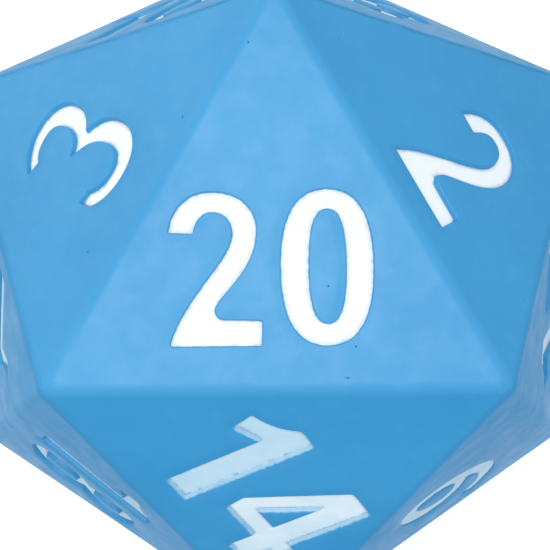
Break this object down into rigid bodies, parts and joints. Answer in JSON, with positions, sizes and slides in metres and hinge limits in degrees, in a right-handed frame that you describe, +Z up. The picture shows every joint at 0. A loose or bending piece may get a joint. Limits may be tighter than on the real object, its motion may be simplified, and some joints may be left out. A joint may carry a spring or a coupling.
{
  "type": "twenty-sided gaming die",
  "caption": "Soft foam icosahedral die with rounded edges and a recessed, white-filled numeral on every face, for rolling a random number.",
  "frame": {"origin": "centre of the flat face it rests on, opposite the face numbered 20", "axes": "+Z up through the middle of the face numbered 20, +Y towards the top of the numeral 20, +X to that numeral's right"},
  "size_m": [0.0934, 0.1072, 0.0877],
  "materials": {
    "foam_skin": "satin closed skin of light blue polyurethane foam with fine pits and rubbed marks",
    "numeral_paint": "matt white paint in the recess floors"
  },
  "bodies": {
    "root": {"die_body": "foam_skin", "number_01_digit_fill": "numeral_paint", "number_02_digit_fill": "numeral_paint", "number_03_digit_fill": "numeral_paint", "number_04_digit_fill": "numeral_paint", "number_05_digit_fill": "numeral_paint", "number_06_digit_fill": "numeral_paint", "number_07_digit_fill": "numeral_paint", "number_08_digit_fill": "numeral_paint", "number_09_digit_fill": "numeral_paint", "number_10_tens_fill": "numeral_paint", "number_10_units_fill": "numeral_paint", "number_11_tens_fill": "numeral_paint", "number_11_units_fill": "numeral_paint", "number_12_tens_fill": "numeral_paint", "number_12_units_fill": "numeral_paint", "number_13_tens_fill": "numeral_paint", "number_13_units_fill": "numeral_paint", "number_14_tens_fill": "numeral_paint", "number_14_units_fill": "numeral_paint", "number_15_tens_fill": "numeral_paint", "number_15_units_fill": "numeral_paint", "number_16_tens_fill": "numeral_paint", "number_16_units_fill": "numeral_paint", "number_17_tens_fill": "numeral_paint", "number_17_units_fill": "numeral_paint", "number_18_tens_fill": "numeral_paint", "number_18_units_fill": "numeral_paint", "number_19_tens_fill": "numeral_paint", "number_19_units_fill": "numeral_paint", "number_20_tens_fill": "numeral_paint", "number_20_units_fill": "numeral_paint"}
  },
  "joints": []
}
